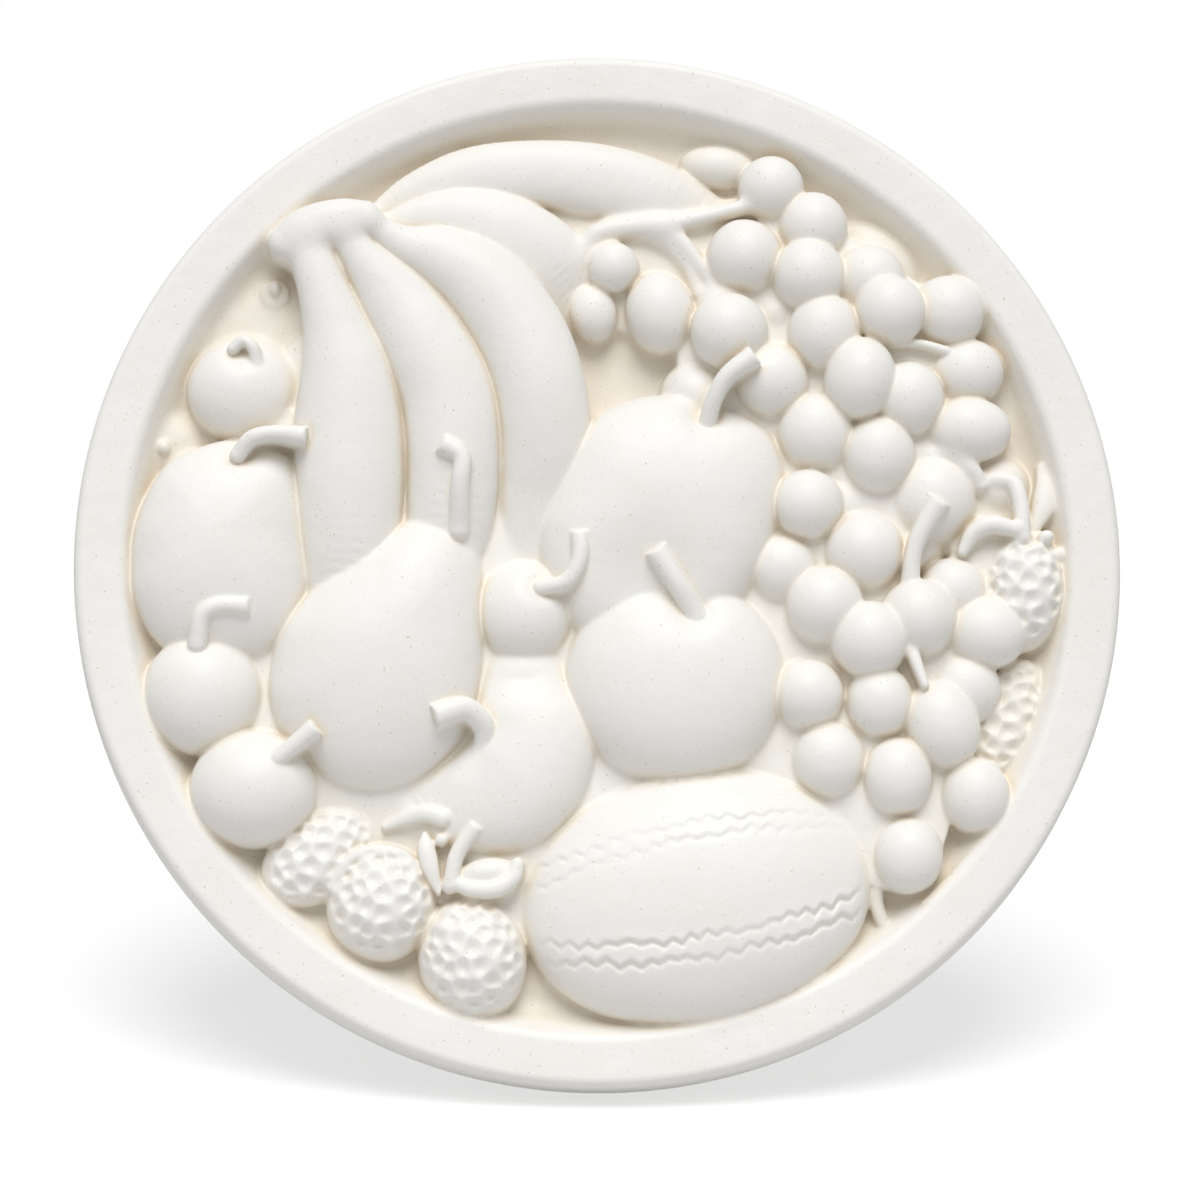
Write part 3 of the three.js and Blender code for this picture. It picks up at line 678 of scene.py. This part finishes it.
def plaster():
    """Warm white with painted cream-brown shade where it is closed in (crevices, the dish's floor and
    the foot of its wall), a few fine specks and a slight grain.
    """
    material = bpy.data.materials.new("plaster")
    material.use_nodes = True
    nodes, links = material.node_tree.nodes, material.node_tree.links
    shader = nodes["Principled BSDF"]
    shader.inputs["Roughness"].default_value = 0.5
    shader.inputs["Specular IOR Level"].default_value = 0.4
    place = nodes.new("ShaderNodeTexCoord").outputs["Object"]

    def noise(scale, detail=3.0):
        made = nodes.new("ShaderNodeTexNoise")
        made.inputs["Scale"].default_value = scale
        made.inputs["Detail"].default_value = detail
        links.new(place, made.inputs["Vector"])
        return made.outputs["Fac"]

    def spread(value, low, high, out_low=0.0, out_high=1.0):
        made = nodes.new("ShaderNodeMapRange")
        made.inputs["From Min"].default_value = low
        made.inputs["From Max"].default_value = high
        made.inputs["To Min"].default_value = out_low
        made.inputs["To Max"].default_value = out_high
        links.new(value, made.inputs["Value"])
        return made.outputs["Result"]

    def mixed(share, a, b):
        made = nodes.new("ShaderNodeMix")
        made.data_type = "RGBA"
        links.new(share, made.inputs["Factor"])
        for socket, value in ((made.inputs["A"], a), (made.inputs["B"], b)):
            if isinstance(value, tuple):
                socket.default_value = value
            else:
                links.new(value, socket)
        return made.outputs["Result"]

    def times(a, b):
        made = nodes.new("ShaderNodeMath")
        made.operation = "MULTIPLY"
        links.new(a, made.inputs[0])
        links.new(b, made.inputs[1])
        return made.outputs[0]

    # painted shade: the closed-in mask from the mesh darkens the plaster towards cream and brown
    painted_shade_mask = nodes.new("ShaderNodeAttribute")
    painted_shade_mask.attribute_name = "painted_shade_mask"
    white = (0.80, 0.785, 0.755, 1)
    warm = (0.79, 0.772, 0.738, 1)
    # the two creams below are painted shade colours for closed-in places, not the plaster's own colour
    pale_cream_shade = (0.80, 0.765, 0.695, 1)
    cream_brown_shade = (0.70, 0.61, 0.48, 1)
    fleck = (0.42, 0.30, 0.19, 1)
    base = mixed(spread(noise(45.0), 0.4, 0.7), white, warm)
    painted_shade_level = painted_shade_mask.outputs["Fac"]
    # deeper painted shade in the most closed-in places, broken up by noise
    brown_shade_share = times(spread(painted_shade_level, 0.4, 0.9, 0.0, 0.8), spread(noise(90.0), 0.15, 0.55))
    # pale painted shade over most closed-in places and the dish's floor
    base = mixed(spread(painted_shade_level, 0.1, 0.45, 0.0, 0.95), base, pale_cream_shade)
    base = mixed(brown_shade_share, base, cream_brown_shade)
    specks = spread(noise(1100.0, 1.0), 0.72, 0.78, 0.0, 0.5)
    base = mixed(specks, base, fleck)
    links.new(base, shader.inputs["Base Color"])

    grain = nodes.new("ShaderNodeBump")
    grain.inputs["Strength"].default_value = 0.12
    grain.inputs["Distance"].default_value = 0.0004
    links.new(noise(1400.0, 4.0), grain.inputs["Height"])
    uneven = nodes.new("ShaderNodeBump")
    uneven.inputs["Strength"].default_value = 0.15
    uneven.inputs["Distance"].default_value = 0.002
    links.new(noise(120.0, 3.0), uneven.inputs["Height"])
    links.new(grain.outputs["Normal"], uneven.inputs["Normal"])
    links.new(uneven.outputs["Normal"], shader.inputs["Normal"])
    return material


def floor_white():
    """White near the plaque and clear further off, and clear from below."""
    material = bpy.data.materials.new("floor_white")
    material.use_nodes = True
    nodes, links = material.node_tree.nodes, material.node_tree.links
    shader = nodes["Principled BSDF"]
    shader.inputs["Base Color"].default_value = (0.95, 0.95, 0.95, 1)
    shader.inputs["Roughness"].default_value = 1.0
    shader.inputs["Specular IOR Level"].default_value = 0.0
    shader.inputs["Emission Color"].default_value = (1, 1, 1, 1)
    shader.inputs["Emission Strength"].default_value = 0.08
    place = nodes.new("ShaderNodeTexCoord")
    away = nodes.new("ShaderNodeVectorMath")
    away.operation = "LENGTH"
    links.new(place.outputs["Object"], away.inputs[0])
    fade = nodes.new("ShaderNodeMapRange")
    fade.interpolation_type = "SMOOTHSTEP"
    fade.inputs["From Min"].default_value = 0.2
    fade.inputs["From Max"].default_value = 0.7
    fade.inputs["To Min"].default_value = 0.5
    fade.inputs["To Max"].default_value = 1.0
    links.new(away.outputs["Value"], fade.inputs["Value"])
    facing = nodes.new("ShaderNodeNewGeometry")
    clearness = nodes.new("ShaderNodeMath")
    clearness.operation = "MAXIMUM"
    links.new(fade.outputs["Result"], clearness.inputs[0])
    links.new(facing.outputs["Backfacing"], clearness.inputs[1])
    clear = nodes.new("ShaderNodeBsdfTransparent")
    either = nodes.new("ShaderNodeMixShader")
    links.new(clearness.outputs["Value"], either.inputs["Fac"])
    links.new(shader.outputs["BSDF"], either.inputs[1])
    links.new(clear.outputs["BSDF"], either.inputs[2])
    links.new(either.outputs["Shader"], nodes["Material Output"].inputs["Surface"])
    return material


# ---- studio ----

LEAN = math.radians(24)  # the plaque stands on a pale floor and leans back this much
UPRIGHT = Vector((0, -math.sin(LEAN), math.cos(LEAN)))  # straight up from that floor
LEVEL = Vector((0, -math.cos(LEAN), -math.sin(LEAN)))  # level, out in front of the plaque
FLOOR_HALF = 0.8
FLOOR_GAP = 0.0006
LIGHT_DISTANCE = 1.5
OVERHEAD_POWER = 2.3
OVERHEAD_SPREAD = math.radians(36)
SOFTBOX_POWER = 1
SOFTBOX_SIZE = 0.5
FILL = 0.47


def make_floor():
    side = Vector((1, 0, 0))
    signs = ((-1, -1), (-1, 1), (1, 1), (1, -1))
    corners = [FLOOR_HALF * (a * side + b * LEVEL) for a, b in signs]
    mesh = bpy.data.meshes.new("floor")
    mesh.from_pydata([tuple(c) for c in corners], [], [(0, 1, 2, 3)])
    floor = bpy.data.objects.new("floor", mesh)
    floor.location = Vector((0, PLAQUE_HIGH[1], PLAQUE_LOW[2])) - FLOOR_GAP * UPRIGHT
    bpy.context.scene.collection.objects.link(floor)
    mesh.materials.append(floor_white())


def make_light(name, kind, towards, power):
    """A lamp out along the direction given, which shines at the plaque's middle."""
    data = bpy.data.lights.new(name, kind)
    data.energy = power
    light = bpy.data.objects.new(name, data)
    light.location = towards.normalized() * LIGHT_DISTANCE
    light.rotation_euler = (-towards).to_track_quat("-Z", "Y").to_euler()
    bpy.context.scene.collection.objects.link(light)
    return data


def make_studio():
    """Light from overhead, a softbox from the front left, and white all round."""
    make_floor()
    overhead = make_light("overhead", "SUN", UPRIGHT + 0.35 * LEVEL, OVERHEAD_POWER)
    overhead.angle = OVERHEAD_SPREAD
    front_left = UPRIGHT + LEVEL + Vector((-0.35, 0, 0))
    softbox = make_light("softbox", "AREA", front_left, SOFTBOX_POWER)
    softbox.size = SOFTBOX_SIZE
    world = bpy.data.worlds.new("studio")
    world.use_nodes = True
    nodes, links = world.node_tree.nodes, world.node_tree.links
    fill = nodes["Background"]
    fill.inputs["Color"].default_value = (1, 1, 1, 1)
    fill.inputs["Strength"].default_value = FILL
    white = nodes.new("ShaderNodeBackground")
    white.inputs["Color"].default_value = (1, 1, 1, 1)
    white.inputs["Strength"].default_value = 1.0
    seen = nodes.new("ShaderNodeLightPath")
    either = nodes.new("ShaderNodeMixShader")
    links.new(seen.outputs["Is Camera Ray"], either.inputs["Fac"])
    links.new(fill.outputs["Background"], either.inputs[1])
    links.new(white.outputs["Background"], either.inputs[2])
    links.new(either.outputs["Shader"], nodes["World Output"].inputs["Surface"])
    bpy.context.scene.world = world
    bpy.context.scene.view_settings.view_transform = "Standard"


# ---- the whole ----

make_camera()
beds()
bananas()
big_fruit()
for row in UPPER_GRAPES + LOWER_GRAPES:
    mound(*row)
peach()
melon()
strawberries()
stems()

cast = thinned(meshed())
mark_painted_shade(cast.data, *settled(cast.data))
cast.data.materials.append(plaster())
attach(cast, "root")
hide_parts("plaque")
make_studio()
